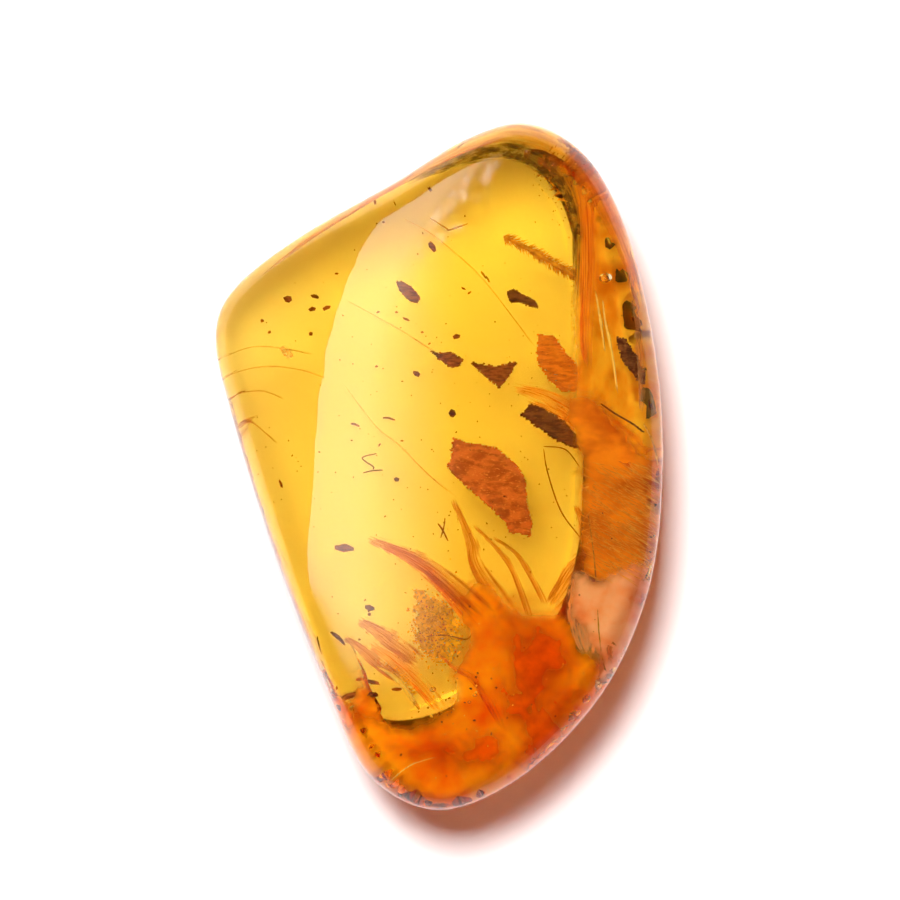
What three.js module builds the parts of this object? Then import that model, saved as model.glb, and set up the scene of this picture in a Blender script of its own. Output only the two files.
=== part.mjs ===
// A polished free-form pebble of amber, lying on its ground flat.
// Millimetres, +Z up, +Y along the length. The origin is on the table, under the middle of the outline.
// The stone is one solid: a flat foot, an underside that leans out to the widest outline,
// and a broad domed crown with a ridge along its left side.

import * as THREE from 'three';
import { mergeVertices } from 'three/addons/utils/BufferGeometryUtils.js';

// Driving dimensions.
const THICKNESS = 14; // table to the top of the crown
const SEGMENTS = 108; // steps round the stone
const SIDE_RINGS = 12; // contours from the foot up to the widest outline
const SHOULDER_RINGS = 16; // contours round the shoulder
const CROWN_RINGS = 12; // contours from the shoulder to the top

// The widest outline, counter-clockwise from the left corner.
// Each point has its height above the table and the width of the rounded shoulder above it.
const OUTLINE = [
  [-15.6, 8.8, 7.2, 1.4],
  [-14.4, 3.6, 7.0, 1.4],
  [-11.4, -6.2, 6.4, 1.3],
  [-8.2, -14.4, 7.2, 1.3],
  [-4.6, -21.6, 9.6, 2.6],
  [-0.2, -23.8, 10.2, 3.4],
  [5.0, -22.0, 10.4, 3.4],
  [11.2, -16.0, 10.4, 3.0],
  [14.6, -8.6, 10.4, 2.6],
  [15.6, 0.0, 10.4, 2.4],
  [15.0, 8.4, 10.4, 2.4],
  [12.6, 17.6, 10.2, 2.4],
  [9.8, 22.0, 10.0, 2.4],
  [6.0, 23.8, 10.0, 2.4],
  [2.2, 22.8, 10.0, 2.2],
  [-3.0, 19.7, 9.6, 1.8],
  [-9.6, 16.0, 8.6, 1.5],
  [-13.8, 12.9, 7.4, 1.4],
  [-15.2, 11.0, 7.2, 1.4],
];

// The edge of the flat foot, one point under each point of the outline.
const FOOT = [
  [-14.6, 8.4],
  [-13.6, 3.4],
  [-10.6, -6.0],
  [-7.2, -13.6],
  [-3.6, -17.4],
  [-0.4, -17.0],
  [3.4, -14.8],
  [7.4, -11.2],
  [9.2, -6.2],
  [9.6, 0.0],
  [9.6, 7.8],
  [9.2, 15.6],
  [7.8, 19.4],
  [5.2, 21.6],
  [2.0, 21.6],
  [-2.8, 19.0],
  [-9.3, 15.3],
  [-13.2, 12.3],
  [-14.5, 10.6],
];

const SHOULDER_SQUARE = 2.2; // section of the shoulder: 2 is an ellipse, and more is fuller
const UNDERSIDE_SQUARE = 1.12; // section of the underside: 1 is a straight slope, and more is fuller

// The crown is a shallow dome. To the left of a ridge it turns down into a flatter, steeper face.
const CROWN_MIDDLE = new THREE.Vector2(2.5, 1.5);
const LEFT_BOW = 0.0085; // fall per square millimetre to the left of the crown's middle
const RIGHT_BOW = 0.006; // and to the right
const END_BOW = 0.0012; // and towards the two ends
const FACE_SLOPE = 0.3; // how much steeper the left face is
const RIDGE_SOFTNESS = 0.9; // width over which the crown turns into the left face
const RIDGE_X = -7.6; // where the ridge starts, low on the left
const RIDGE_LEAN = 0.00055; // cubic lean to the right, towards the top of the stone
const RIDGE_LEAN_START = -5;
const BAY_DEPTH = 0.7; // a shallow bay low on the ridge, open to the left
const BAY_Y = -7;
const BAY_REACH = 4;

function closedCurve(points) {
  const knots = points.map(([x, y, z = 0]) => new THREE.Vector3(x, y, z));
  return new THREE.CatmullRomCurve3(knots, true, 'centripetal');
}

function ridgeX(y) {
  const lean = RIDGE_LEAN * Math.max(0, y - RIDGE_LEAN_START) ** 3;
  const bay = BAY_DEPTH * Math.exp(-(((y - BAY_Y) / BAY_REACH) ** 2));
  return RIDGE_X + lean - bay;
}

// Height of the broad crown, before it rounds down to the outline.
function crownHeight(x, y) {
  const sideways = x - CROWN_MIDDLE.x;
  const lengthways = y - CROWN_MIDDLE.y;
  const sideBow = sideways < 0 ? LEFT_BOW : RIGHT_BOW;
  const dome = sideBow * sideways ** 2 + END_BOW * lengthways ** 2;
  const pastRidge = RIDGE_SOFTNESS * Math.log(1 + Math.exp((ridgeX(y) - x) / RIDGE_SOFTNESS));
  return THICKNESS - dome - FACE_SLOPE * pastRidge;
}

// A quarter of a superellipse: angle 0 gives [1, 0] and a right angle gives [0, 1].
function quarterTurn(angle, squareness) {
  const across = Math.cos(angle);
  const up = Math.sin(angle);
  const reach = (across ** squareness + up ** squareness) ** (-1 / squareness);
  return [across * reach, up * reach];
}

const outlineCurve = closedCurve(OUTLINE);
const footCurve = closedCurve(FOOT);
const FOOT_CENTRE = new THREE.Vector3(0, 2, 0);

// The shoulder's width runs round the stone as the outline does.
const shoulderCurve = closedCurve(OUTLINE.map(([x, y, , shoulder]) => [x, y, shoulder]));

// A point of the crown: ring 0 is the top, and the last ring is the widest outline.
function crownPoint(turn, ring) {
  const rim = outlineCurve.getPoint(turn);
  const shoulder = shoulderCurve.getPoint(turn).z;
  const inward = new THREE.Vector2(rim.x, rim.y).sub(CROWN_MIDDLE);
  const reach = inward.length();
  const flat = reach - shoulder;
  const onShoulder = (ring - CROWN_RINGS) / SHOULDER_RINGS;
  let distance = (flat * ring) / CROWN_RINGS;
  let upward = 1;
  if (onShoulder > 0) {
    const [outward, up] = quarterTurn(((1 - onShoulder) * Math.PI) / 2, SHOULDER_SQUARE);
    distance = flat + shoulder * outward;
    upward = up;
  }
  const place = inward.setLength(distance).add(CROWN_MIDDLE);
  const z = THREE.MathUtils.lerp(rim.z, crownHeight(place.x, place.y), upward);
  return new THREE.Vector3(place.x, place.y, z);
}

// A point of the underside: step 0 is on the outline, and step 1 is on the edge of the foot.
function undersidePoint(turn, step) {
  const rim = outlineCurve.getPoint(turn);
  const foot = footCurve.getPoint(turn);
  const [outward, downward] = quarterTurn((step * Math.PI) / 2, UNDERSIDE_SQUARE);
  const point = new THREE.Vector3().lerpVectors(foot, rim, outward);
  point.z = rim.z * (1 - downward);
  return point;
}

// Ring 0 is the top of the crown, and the last ring is the middle of the foot.
function pebblePoint(ring, turn) {
  const underside = ring - CROWN_RINGS - SHOULDER_RINGS;
  if (underside <= 0) return crownPoint(turn, ring);
  if (underside <= SIDE_RINGS) return undersidePoint(turn, underside / SIDE_RINGS);
  return FOOT_CENTRE;
}

function pebbleGeometry() {
  const rings = CROWN_RINGS + SHOULDER_RINGS + SIDE_RINGS + 1;
  const sphere = new THREE.SphereGeometry(1, SEGMENTS, rings);
  const position = sphere.attributes.position;
  const columns = SEGMENTS + 1;
  for (let i = 0; i < position.count; i += 1) {
    const ring = Math.floor(i / columns);
    const turn = ((i % columns) % SEGMENTS) / SEGMENTS;
    const point = pebblePoint(ring, turn);
    position.setXYZ(i, point.x, point.y, point.z);
  }
  sphere.deleteAttribute('normal');
  sphere.deleteAttribute('uv');
  const pebble = mergeVertices(sphere);
  pebble.computeVertexNormals();
  return pebble;
}

const amberMaterial = new THREE.MeshStandardMaterial({
  color: 0xe09a1c,
  roughness: 0.08,
  metalness: 0,
});

const stone = new THREE.Mesh(pebbleGeometry(), amberMaterial);
stone.name = 'amber_pebble';

const insectInAmber = new THREE.Group();
insectInAmber.add(stone);

export default insectInAmber;
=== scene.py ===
# %% [markdown]
# # A polished amber pebble with things sealed inside
#
# Amber is fossil tree resin. This stone is a free-form pebble, clear golden yellow in the middle and deep
# orange at its right side and lower end. Bark, leaf and insect scraps were caught in the resin as it
# flowed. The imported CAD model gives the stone's shape, size and place, and this lesson adds the looks.

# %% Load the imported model
import math
import random
from contextlib import contextmanager

import bpy
import bmesh
from mathutils import Matrix, Vector, noise
from mathutils.bvhtree import BVHTree
from mathutils.kdtree import KDTree


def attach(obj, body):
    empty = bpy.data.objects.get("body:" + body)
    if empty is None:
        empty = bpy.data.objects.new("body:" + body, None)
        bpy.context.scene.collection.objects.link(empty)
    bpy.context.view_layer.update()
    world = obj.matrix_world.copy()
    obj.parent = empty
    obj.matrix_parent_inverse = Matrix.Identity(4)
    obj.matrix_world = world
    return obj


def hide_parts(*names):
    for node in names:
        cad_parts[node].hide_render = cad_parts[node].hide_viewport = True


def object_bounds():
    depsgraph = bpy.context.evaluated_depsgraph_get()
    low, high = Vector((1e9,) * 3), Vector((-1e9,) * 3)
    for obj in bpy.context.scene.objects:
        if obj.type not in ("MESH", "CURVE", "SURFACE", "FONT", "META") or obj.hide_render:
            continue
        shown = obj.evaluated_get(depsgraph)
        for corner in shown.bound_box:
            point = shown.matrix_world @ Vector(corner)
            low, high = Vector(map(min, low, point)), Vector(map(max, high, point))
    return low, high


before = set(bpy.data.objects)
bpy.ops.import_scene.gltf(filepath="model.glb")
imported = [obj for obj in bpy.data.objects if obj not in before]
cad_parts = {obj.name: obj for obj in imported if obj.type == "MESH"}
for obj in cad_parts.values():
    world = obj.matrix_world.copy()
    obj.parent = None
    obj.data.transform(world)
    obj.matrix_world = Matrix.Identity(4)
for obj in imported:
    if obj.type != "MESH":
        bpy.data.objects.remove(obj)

cad_low, cad_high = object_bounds()
MM = 0.001
noise.seed_set(1)  # noise_vector changes from run to run without a seed
STONE = "amber_pebble"
print("stone box, mm:", [round(side / MM, 1) for side in cad_high - cad_low])

# %% [markdown]
# ## Shader maths as plain arithmetic
#
# A node tree is easier to read as an expression. `Wire` wraps one socket, so `mask * 0.4 + 0.1` adds its
# Math nodes by itself. `Nodes` wraps a tree, and its `node` method adds any other node: settings first,
# then sockets.

# %% A socket that does arithmetic
class Wire:
    def __init__(self, nodes, socket):
        self.nodes = nodes
        self.socket = socket

    def maths(self, operation, first, second):
        return self.nodes.node("ShaderNodeMath", {"operation": operation}, {0: first, 1: second})

    def __add__(self, other):
        return self.maths("ADD", self, other)

    def __sub__(self, other):
        return self.maths("SUBTRACT", self, other)

    def __rsub__(self, other):
        return self.maths("SUBTRACT", other, self)

    def __mul__(self, other):
        return self.maths("MULTIPLY", self, other)

    __radd__ = __add__
    __rmul__ = __mul__

    def step(self, low, high, start=0.0, end=1.0):
        """Runs smoothly from start to end as the value runs from low to high."""
        sockets = {"Value": self, "From Min": low, "From Max": high, "To Min": start, "To Max": end}
        return self.nodes.node("ShaderNodeMapRange", {"interpolation_type": "SMOOTHSTEP"}, sockets)


# %% A node tree
class Nodes:
    def __init__(self, tree):
        self.tree = tree

    def plug(self, value, socket):
        if isinstance(value, Wire):
            self.tree.links.new(value.socket, socket)
        else:
            socket.default_value = value

    def node(self, kind, settings=None, sockets=None, out=0):
        added = self.tree.nodes.new(kind)
        for name, value in (settings or {}).items():
            setattr(added, name, value)
        for name, value in (sockets or {}).items():
            self.plug(value, added.inputs[name])
        return Wire(self, added.outputs[out])

    def place(self, kind="Object"):
        return self.node("ShaderNodeTexCoord", out=kind)

    def split(self, vector):
        parts = self.node("ShaderNodeSeparateXYZ", sockets={"Vector": vector}).socket.node
        return [Wire(self, parts.outputs[axis]) for axis in "XYZ"]

    def mapped(self, vector, scale=(1, 1, 1), turn=(0, 0, 0), shift=(0, 0, 0)):
        sockets = {"Vector": vector, "Scale": scale, "Rotation": turn, "Location": shift}
        return self.node("ShaderNodeMapping", sockets=sockets)

    def noise(self, size, detail=3, where=None, distortion=0.0):
        where = where or self.place()
        sockets = {"Vector": where, "Scale": 1 / size, "Detail": detail, "Distortion": distortion}
        return self.node("ShaderNodeTexNoise", sockets=sockets)

    def blend(self, amount, first, second):
        mix = self.node("ShaderNodeMix", {"data_type": "RGBA"}).socket.node
        for value, number in ((amount, 0), (first, 6), (second, 7)):
            self.plug(value, mix.inputs[number])
        return Wire(self, mix.outputs[2])

    def bump(self, height, depth):
        return self.node("ShaderNodeBump", sockets={"Height": height, "Distance": depth})


# %% One material from its shader's sockets
def paint(red, green, blue):
    return (red, green, blue, 1.0)


def blank(name):
    material = bpy.data.materials.new(name)
    material.use_nodes = True
    material.node_tree.nodes.clear()
    return material, Nodes(material.node_tree)


def finish(material, nodes, sockets, volume=None):
    shader = nodes.node("ShaderNodeBsdfPrincipled", sockets=sockets)
    ends = {"Surface": shader}
    if volume:
        ends["Volume"] = nodes.node("ShaderNodeVolumeAbsorption", sockets=volume)
    output = nodes.tree.nodes.new("ShaderNodeOutputMaterial")
    for name, wire in ends.items():
        nodes.plug(wire, output.inputs[name])
    return material


# %% [markdown]
# ## The floor, the camera and the light
#
# The stone lies on plain white paper and is seen from straight above, with its broad end away from us. A
# long lens keeps the outline true.

# %% Floor
def clear_selection():
    bpy.ops.object.select_all(action="DESELECT")


clear_selection()
bpy.ops.mesh.primitive_plane_add(size=4.0, location=(0, 0, cad_low.z - 0.02 * MM))
floor = bpy.context.object
floor.name = "floor"
paper, nodes = blank("white_paper")
grain = nodes.blend(nodes.noise(4 * MM), paint(0.91, 0.91, 0.91), paint(0.93, 0.93, 0.93))
floor.data.materials.append(finish(paper, nodes, {"Base Color": grain, "Roughness": 0.9}))
print("floor at z =", round(floor.location.z / MM, 3), "mm")

# %% Camera
LENS, SENSOR = 200.0, 36.0
PICTURE_WIDE = 63.0 * MM
PICTURE_SHIFT = Vector((0.84, 1.15)) * MM  # the stone lies a little left of and below the picture's middle
WAIST_UP = 6.0 * MM  # about the height of the widest outline, where the picture's width is measured
waist_height = cad_low.z + WAIST_UP
middle = (cad_low + cad_high) / 2
distance = PICTURE_WIDE * LENS / SENSOR
camera_data = bpy.data.cameras.new("camera")
camera_data.lens = LENS
camera_data.sensor_width = SENSOR
camera = bpy.data.objects.new("camera", camera_data)
bpy.context.scene.collection.objects.link(camera)
camera.location = (middle.x + PICTURE_SHIFT.x, middle.y + PICTURE_SHIFT.y, waist_height + distance)
bpy.context.scene.camera = camera
print("camera is", round(distance / MM), "mm above the stone")

# %% [markdown]
# ## Light for a clear stone
#
# A clear stone shows what is round it. One tall softbox leans over its left side and makes the long pale
# reflection, which is bright at its outer edge and fades towards the middle. A second lamp stays out of the
# reflections and throws the shadow, and a warm lamp on the other side fills that shadow with the orange
# that a stone like this gives it. The room is bright low down, as white walls are, and dim overhead.

# %% Lights
def softbox(name, place, lean, wide, high, power, colour=(1, 1, 1)):
    """A lamp at a place in metres from the stone, leaning to the left by an angle in degrees."""
    data = bpy.data.lights.new(name, "AREA")
    data.shape = "RECTANGLE"
    data.size, data.size_y = wide, high
    data.energy = power
    data.color = colour
    light = bpy.data.objects.new(name, data)
    bpy.context.scene.collection.objects.link(light)
    light.location = middle + Vector(place)
    light.rotation_euler = (0, math.radians(-lean), 0)
    return light


def fade(light, across, along):
    """Dims a softbox smoothly from full at its left and far edges to nothing at its right and near ones."""
    light.data.use_nodes = True
    nodes = Nodes(light.data.node_tree)
    right, far, _ = nodes.split(nodes.node("ShaderNodeNewGeometry", out="Parametric"))
    strength = right.step(*across, 1.0, 0.0) * far.step(*along)
    nodes.plug(strength, light.data.node_tree.nodes["Emission"].inputs["Strength"])


key = softbox("key_softbox", (-0.225, 0.142, 0.556), 22, wide=0.52, high=0.475, power=3.2)
fade(key, across=(0.5, 0.95), along=(0.0, 0.07))
key.visible_diffuse = False
shadow_lamp = softbox("shadow_lamp", (-0.07, 0.16, 0.57), 7, wide=0.14, high=0.14, power=5.4)
glow_lamp = softbox(
    "glow_lamp", (0.35, -0.4, 0.35), -50, wide=0.3, high=0.3, power=1.9, colour=(1, 0.1, 0.02),
)
for lamp in (shadow_lamp, glow_lamp):
    lamp.visible_glossy = False

# %% A room that is bright low down
world = bpy.data.worlds.new("studio")
bpy.context.scene.world = world
world.use_nodes = True
nodes = Nodes(world.node_tree)
height = nodes.split(nodes.place("Generated"))[2]
nodes.plug(height.step(0.05, 0.45, 0.2, 0.01), world.node_tree.nodes["Background"].inputs["Strength"])
world.node_tree.nodes["Background"].inputs["Color"].default_value = paint(1, 1, 1)
bpy.context.scene.view_settings.view_transform = "Standard"

# %% Let light bounce on inside the stone
cycles = bpy.context.scene.cycles
cycles.max_bounces = 16
cycles.glossy_bounces = 10
cycles.transmission_bounces = 16
cycles.transparent_max_bounces = 16
cycles.diffuse_bounces = 5

# %% [markdown]
# ## The stone's body
#
# The CAD stone is an exact solid of flat triangles, and clear amber would show every one. So a copy is
# merged, remeshed evenly and smoothed until its reflections run clean. It is worked on in millimetres, like
# every small piece here, and shrunk to metres at the end, because Blender's tools are made for things of
# about that size.

# %% Helpers for modelling
def pick(piece):
    clear_selection()
    piece.select_set(True)
    bpy.context.view_layer.objects.active = piece


@contextmanager
def editing(piece):
    pick(piece)
    bpy.ops.object.mode_set(mode="EDIT")
    bpy.ops.mesh.select_all(action="SELECT")
    yield
    bpy.ops.object.mode_set(mode="OBJECT")


def apply_modifier(piece, kind, **settings):
    pick(piece)
    modifier = piece.modifiers.new(kind.lower(), kind)
    for name, value in settings.items():
        setattr(modifier, name, value)
    bpy.ops.object.modifier_apply(modifier=modifier.name)


def finish_piece(piece, material, smooth=True):
    """Shrinks a piece from millimetres to metres, gives it its material and ties it to the stone."""
    piece.data.transform(Matrix.Scale(MM, 4))
    piece.data.materials.clear()
    piece.data.materials.append(material)
    pick(piece)
    if smooth:
        bpy.ops.object.shade_smooth()
    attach(piece, "root")
    return piece


# %% Amber body
def stone_copy(name):
    """A merged copy of the CAD stone, in millimetres."""
    copy = bpy.data.objects.new(name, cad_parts[STONE].data.copy())
    bpy.context.scene.collection.objects.link(copy)
    copy.data.transform(Matrix.Scale(1 / MM, 4))
    with editing(copy):
        bpy.ops.mesh.remove_doubles(threshold=0.001)
    return copy


body = stone_copy("amber_body")
apply_modifier(body, "REMESH", mode="VOXEL", voxel_size=0.3)
apply_modifier(body, "SMOOTH", factor=0.5, iterations=20)
body_tree = BVHTree.FromObject(body, bpy.context.evaluated_depsgraph_get())
print("body faces:", len(body.data.polygons))

# %% [markdown]
# ## Clear amber with a darker rind
#
# Amber is a clear solid that takes blue out of the light first and green next. Plain absorption does that,
# so thick places are deeper in colour. Its refractive index is 1.54. The crown and the ground flat are
# polished clear, but the sides keep some of the old orange rind, so the surface tints light there: by
# height above the table, with a noise that makes the rind's edge wander.

# %% Clear amber finish
AMBER_IOR = 1.54
CLEAR_AMBER = {"Color": paint(0.988, 0.845, 0.054), "Density": 130.0}

clear_amber, nodes = blank("clear_amber")
height = nodes.split(nodes.place())[2]
RIND_ENDS, RIND_FULL = 8.5 * MM, 5.5 * MM  # heights above the table
FOOT_EDGE, FOOT_CLEAR = 1.6 * MM, 0.3 * MM
WANDER = 2.5 * MM
wander = nodes.noise(5 * MM, detail=3) * WANDER - WANDER / 2
rind = (height + wander).step(RIND_ENDS, RIND_FULL) * height.step(FOOT_CLEAR, FOOT_EDGE)
mottle = nodes.noise(2 * MM, detail=4).step(0.3, 0.7)
rind_tint = nodes.blend(mottle, paint(0.88, 0.5, 0.03), paint(0.8, 0.4, 0.02))
polish = nodes.noise(1.5 * MM, detail=4).step(0.35, 0.75, 0.0, 0.04)
finish(
    clear_amber,
    nodes,
    {
        "Base Color": nodes.blend(rind, paint(1, 1, 1), rind_tint),
        "Roughness": polish,
        "IOR": AMBER_IOR,
        "Transmission Weight": 1.0,
    },
    CLEAR_AMBER,
)
finish_piece(body, clear_amber)
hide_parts(STONE)

# %% [markdown]
# ## Where things lie inside the stone
#
# Amber bends light, so a sealed thing seems to lie where the bent line of sight meets it. `inside` follows
# that line: down from the camera, bent at the crown by Snell's law, then a share of the way through the
# stone. Places are in millimetres as seen from above, and the share says how deep: 0 is the crown and 1 the
# underside.

# %% Follow the line of sight into the stone
eye = camera.location / MM
WAIST = waist_height / MM
DEEPEST = 8.0  # mm along the line of sight


def bend(ray, normal, ratio):
    cosine = -ray.dot(normal)
    sideways = ratio**2 * (1 - cosine**2)
    return (ratio * ray + (ratio * cosine - math.sqrt(max(1 - sideways, 0))) * normal).normalized()


def inside(x, y, share, most=DEEPEST):
    aim = Vector((x, y, WAIST))
    hit = None
    while hit is None:
        ray = (aim - eye).normalized()
        hit, normal, face, far = body_tree.ray_cast(eye, ray)
        aim = Vector((aim.x * 0.98, aim.y * 0.98, WAIST))
    ray = bend(ray, normal, 1 / AMBER_IOR)
    start = hit + ray * 0.01
    far = body_tree.ray_cast(start, ray)[3]
    return start + ray * min((far or 0.0) * share, most)


print("half way down under the crown's middle, mm:", [round(c, 1) for c in inside(2.5, 1.5, 0.5)])


# %% [markdown]
# ## Tools for small pieces
#
# Each sealed piece is modelled flat, as it is seen from above, and then sunk into the stone along the lines
# of sight. Sheets start as a grid: cut to an outline, or bent along a spine whose points are x, y and
# width. Threads start as a curve with a round section. A shape that repeats is modelled once and copied.

# %% Place, cut and sink
def fresh(kind, name, **settings):
    clear_selection()
    getattr(bpy.ops.mesh, f"primitive_{kind}_add")(**settings)
    piece = bpy.context.object
    piece.name = name
    return piece


def box_of(points):
    low = Vector((min(p[0] for p in points), min(p[1] for p in points), 0))
    high = Vector((max(p[0] for p in points), max(p[1] for p in points), 0))
    return low, high


def sink(piece, share, fall=(0.0, 0.0), most=DEEPEST):
    """Lowers a flat piece into the stone. Fall is how much the share grows per millimetre across it."""
    low, high = box_of([corner.co for corner in piece.data.vertices])
    centre = (low + high) / 2
    for corner in piece.data.vertices:
        x, y, z = corner.co
        depth = share + fall[0] * (x - centre.x) + fall[1] * (y - centre.y)
        corner.co = inside(x, y, min(max(depth, 0.03), 0.96), most) + Vector((0, 0, z))


def within(spot, outline):
    """True where a spot lies inside a closed outline."""
    inside_it = False
    for (x1, y1), (x2, y2) in zip(outline, outline[1:] + outline[:1]):
        if (y1 > spot.y) != (y2 > spot.y) and spot.x < (x2 - x1) * (spot.y - y1) / (y2 - y1) + x1:
            inside_it = not inside_it
    return inside_it


def ragged(spot, size, seed):
    return noise.noise_vector(spot / size + Vector((seed, 0, 0))) * size


def cut_sheet(name, outline, cell, tear, seed):
    """A grid cut to an outline. Tear is the size of its ragged edge."""
    low, high = box_of(outline)
    low -= Vector((tear, tear, 0))
    high += Vector((tear, tear, 0))
    size = high - low
    sheet = fresh(
        "grid", name, x_subdivisions=round(size.x / cell), y_subdivisions=round(size.y / cell), size=1,
    )
    with editing(sheet):
        bpy.ops.transform.resize(value=(size.x, size.y, 1))
        bpy.ops.transform.translate(value=(low + high) / 2)
        bpy.context.tool_settings.mesh_select_mode = (False, False, True)
        bpy.ops.mesh.select_all(action="DESELECT")
        mesh = bmesh.from_edit_mesh(sheet.data)
        for face in mesh.faces:
            spot = face.calc_center_median()
            edge = ragged(spot, tear, seed) + ragged(spot, tear / 3, seed)
            face.select_set(not within(spot + edge, outline))
        bpy.ops.mesh.delete(type="FACE")
    return sheet


def on_stone(spot):
    """True where the line of sight through a spot meets the stone, or only just misses it."""
    aim = Vector((spot.x * 0.92, spot.y * 0.92, WAIST))
    return body_tree.ray_cast(eye, (aim - eye).normalized())[0] is not None


def soft_sheet(name, outline, soft, seed, cell=0.4):
    """A cut sheet, trimmed to the stone. Its edge attribute grows from 0 to 1 over a soft edge."""
    sheet = cut_sheet(name, outline, cell, 0.35, seed)
    shape = bmesh.new()
    shape.from_mesh(sheet.data)
    border = [corner.co.copy() for corner in shape.verts if corner.is_boundary]
    shape.free()
    tree = KDTree(len(border))
    for number, spot in enumerate(border):
        tree.insert(spot, number)
    tree.balance()
    edge = sheet.data.attributes.new("edge", "FLOAT", "POINT")
    for corner, value in zip(sheet.data.vertices, edge.data):
        value.value = min(tree.find(corner.co)[2] / soft, 1.0)
    with editing(sheet):
        bpy.context.tool_settings.mesh_select_mode = (True, False, False)
        bpy.ops.mesh.select_all(action="DESELECT")
        mesh = bmesh.from_edit_mesh(sheet.data)
        for corner in mesh.verts:
            corner.select_set(not on_stone(corner.co))
        bpy.ops.mesh.delete(type="VERT")
    return sheet


def rumple(piece, size, height, seed):
    for corner in piece.data.vertices:
        corner.co.z += noise.fractal(corner.co / size + Vector((seed, 0, 0)), 0.8, 2.0, 4) * height


# %% Follow a spine
def along(points, share):
    """The place a share of the way along a smooth curve through some points."""
    spot = min(max(share, 0), 1) * (len(points) - 1)
    index = min(int(spot), len(points) - 2)
    t = spot - index
    a, b, c, d = (Vector(points[min(max(index + step, 0), len(points) - 1)]) for step in (-1, 0, 1, 2))
    return 0.5 * (2 * b + (c - a) * t + (2 * a - 5 * b + 4 * c - d) * t**2 + (3 * b - a - 3 * c + d) * t**3)


def heading(points, share):
    ahead = along(points, min(share + 0.02, 1)) - along(points, max(share - 0.02, 0))
    return Vector((ahead.x, ahead.y, 0)).normalized()


def ribbon(name, spine, rows=60, columns=10):
    """A grid bent along a spine of x, y and width. Its UV map runs along it."""
    sheet = fresh("grid", name, x_subdivisions=rows, y_subdivisions=columns, size=2)
    for corner in sheet.data.vertices:
        share = (corner.co.x + 1) / 2
        x, y, width = along(spine, share)
        ahead = heading(spine, share)
        offset = corner.co.y * width / 2
        corner.co = (x - ahead.y * offset, y + ahead.x * offset, 0)
    return sheet


def curtain(name, spine, top, bottom, lean, rows=50):
    """A thin sheet that hangs down the line of sight, so that it shows from above as a line."""
    sheet = fresh("grid", name, x_subdivisions=rows, y_subdivisions=6, size=2)
    for corner in sheet.data.vertices:
        share, drop = (corner.co.x + 1) / 2, (corner.co.y + 1) / 2
        x, y = along(spine, share)
        ahead = heading(spine, share)
        slip = lean * (drop - 0.5)
        corner.co = inside(x - ahead.y * slip, y + ahead.x * slip, top + (bottom - top) * drop)
    return sheet


def thread(name, points, thick, taper=0.5, steps=24):
    """A round thread along a smooth curve through points, thinner at its ends."""
    clear_selection()
    bpy.ops.curve.primitive_nurbs_path_add()
    piece = bpy.context.object
    piece.name = name
    curve = piece.data
    curve.splines.clear()
    spline = curve.splines.new("POLY")
    spline.points.add(steps)
    for index, point in enumerate(spline.points):
        share = index / steps
        place = along(points, share)
        point.co = (place.x, place.y, place.z if len(place) > 2 else 0, 1)
        point.radius = 1 - taper * abs(2 * share - 1) ** 3
    curve.bevel_depth = thick / 2
    curve.bevel_resolution = 1
    curve.use_fill_caps = True
    pick(piece)
    bpy.ops.object.convert(target="MESH")
    piece = bpy.context.object
    with editing(piece):
        bpy.ops.mesh.remove_doubles(threshold=0.0001)
        bpy.ops.mesh.normals_make_consistent(inside=False)
    return piece


# %% Copy a small shape many times
def aimed(place, direction, size):
    """Where a copy goes: its own X along the direction, stretched to its length, width and height."""
    turn = Vector(direction).to_track_quat("X", "Z").to_matrix().to_4x4()
    return Matrix.Translation(place) @ turn @ Matrix.Diagonal((*size, 1))


def scatter(name, pattern, places):
    mesh = bmesh.new()
    for place in places:
        mesh.from_mesh(pattern.data)
        mesh.verts.ensure_lookup_table()
        fresh_corners = mesh.verts[-len(pattern.data.vertices):]
        bmesh.ops.transform(mesh, matrix=place, verts=fresh_corners)
    piece = bpy.data.objects.new(name, bpy.data.meshes.new(name))
    mesh.to_mesh(piece.data)
    mesh.free()
    bpy.context.scene.collection.objects.link(piece)
    return piece


def hair_pattern():
    """One curved hair, 1 mm long and as thick, to be stretched to its size by its copies."""
    bow = [(0, 0, 0), (0.35, 0.05, 0.02), (0.7, 0.04, 0.05), (1, -0.05, 0.06)]
    return thread("hair_pattern", bow, thick=1, taper=1.0, steps=5)


def grain_pattern():
    grain = fresh("ico_sphere", "grain_pattern", subdivisions=1, radius=0.5)
    with editing(grain):
        bpy.ops.transform.vertex_random(offset=0.12, seed=3)
    return grain

# %% [markdown]
# ## Finishes for what is sealed inside
#
# Bark and leaf scraps are dull and mottled, so two noises mix three colours and lift the surface. Flow
# films only colour the light that passes: their streaks follow the sheet's own UV map. Clouds scatter light
# instead, so they stay bright where the stone behind them is dark. Hairs are gold to brown. The pale gold
# glint film and some bright gold grains are painted highlights: bright colour that stands for glints of
# light.

# %% Mottled scraps
def mottled(name, dark, middle_tone, pale, size, grain=(1, 1, 1), depth=0.03, worn=None):
    """Three colours mixed by two noises. Worn is how much of the scrap is eaten away, 0 to 1."""
    material, nodes = blank(name)
    place = nodes.mapped(nodes.place(), scale=grain, turn=(0, 0, 0.6))
    coarse = nodes.noise(size * MM, 4, place, 0.4)
    fine = nodes.noise(size * MM * 0.22, 3, place)
    tone = nodes.blend(coarse.step(0.38, 0.62), dark, middle_tone)
    tone = nodes.blend(fine.step(0.55, 0.8), tone, pale)
    sockets = {
        "Base Color": tone,
        "Roughness": fine.step(0.3, 0.7, 0.45, 0.8),
        "Normal": nodes.bump(coarse * 0.5 + fine * 0.5, depth * MM),
        "Specular IOR Level": 0.03,
    }
    if worn is not None:
        eaten = nodes.noise(size * MM * 0.5, 5, place)
        sockets["Alpha"] = eaten.step(worn - 0.08, worn + 0.08)
    return finish(material, nodes, sockets)


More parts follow.
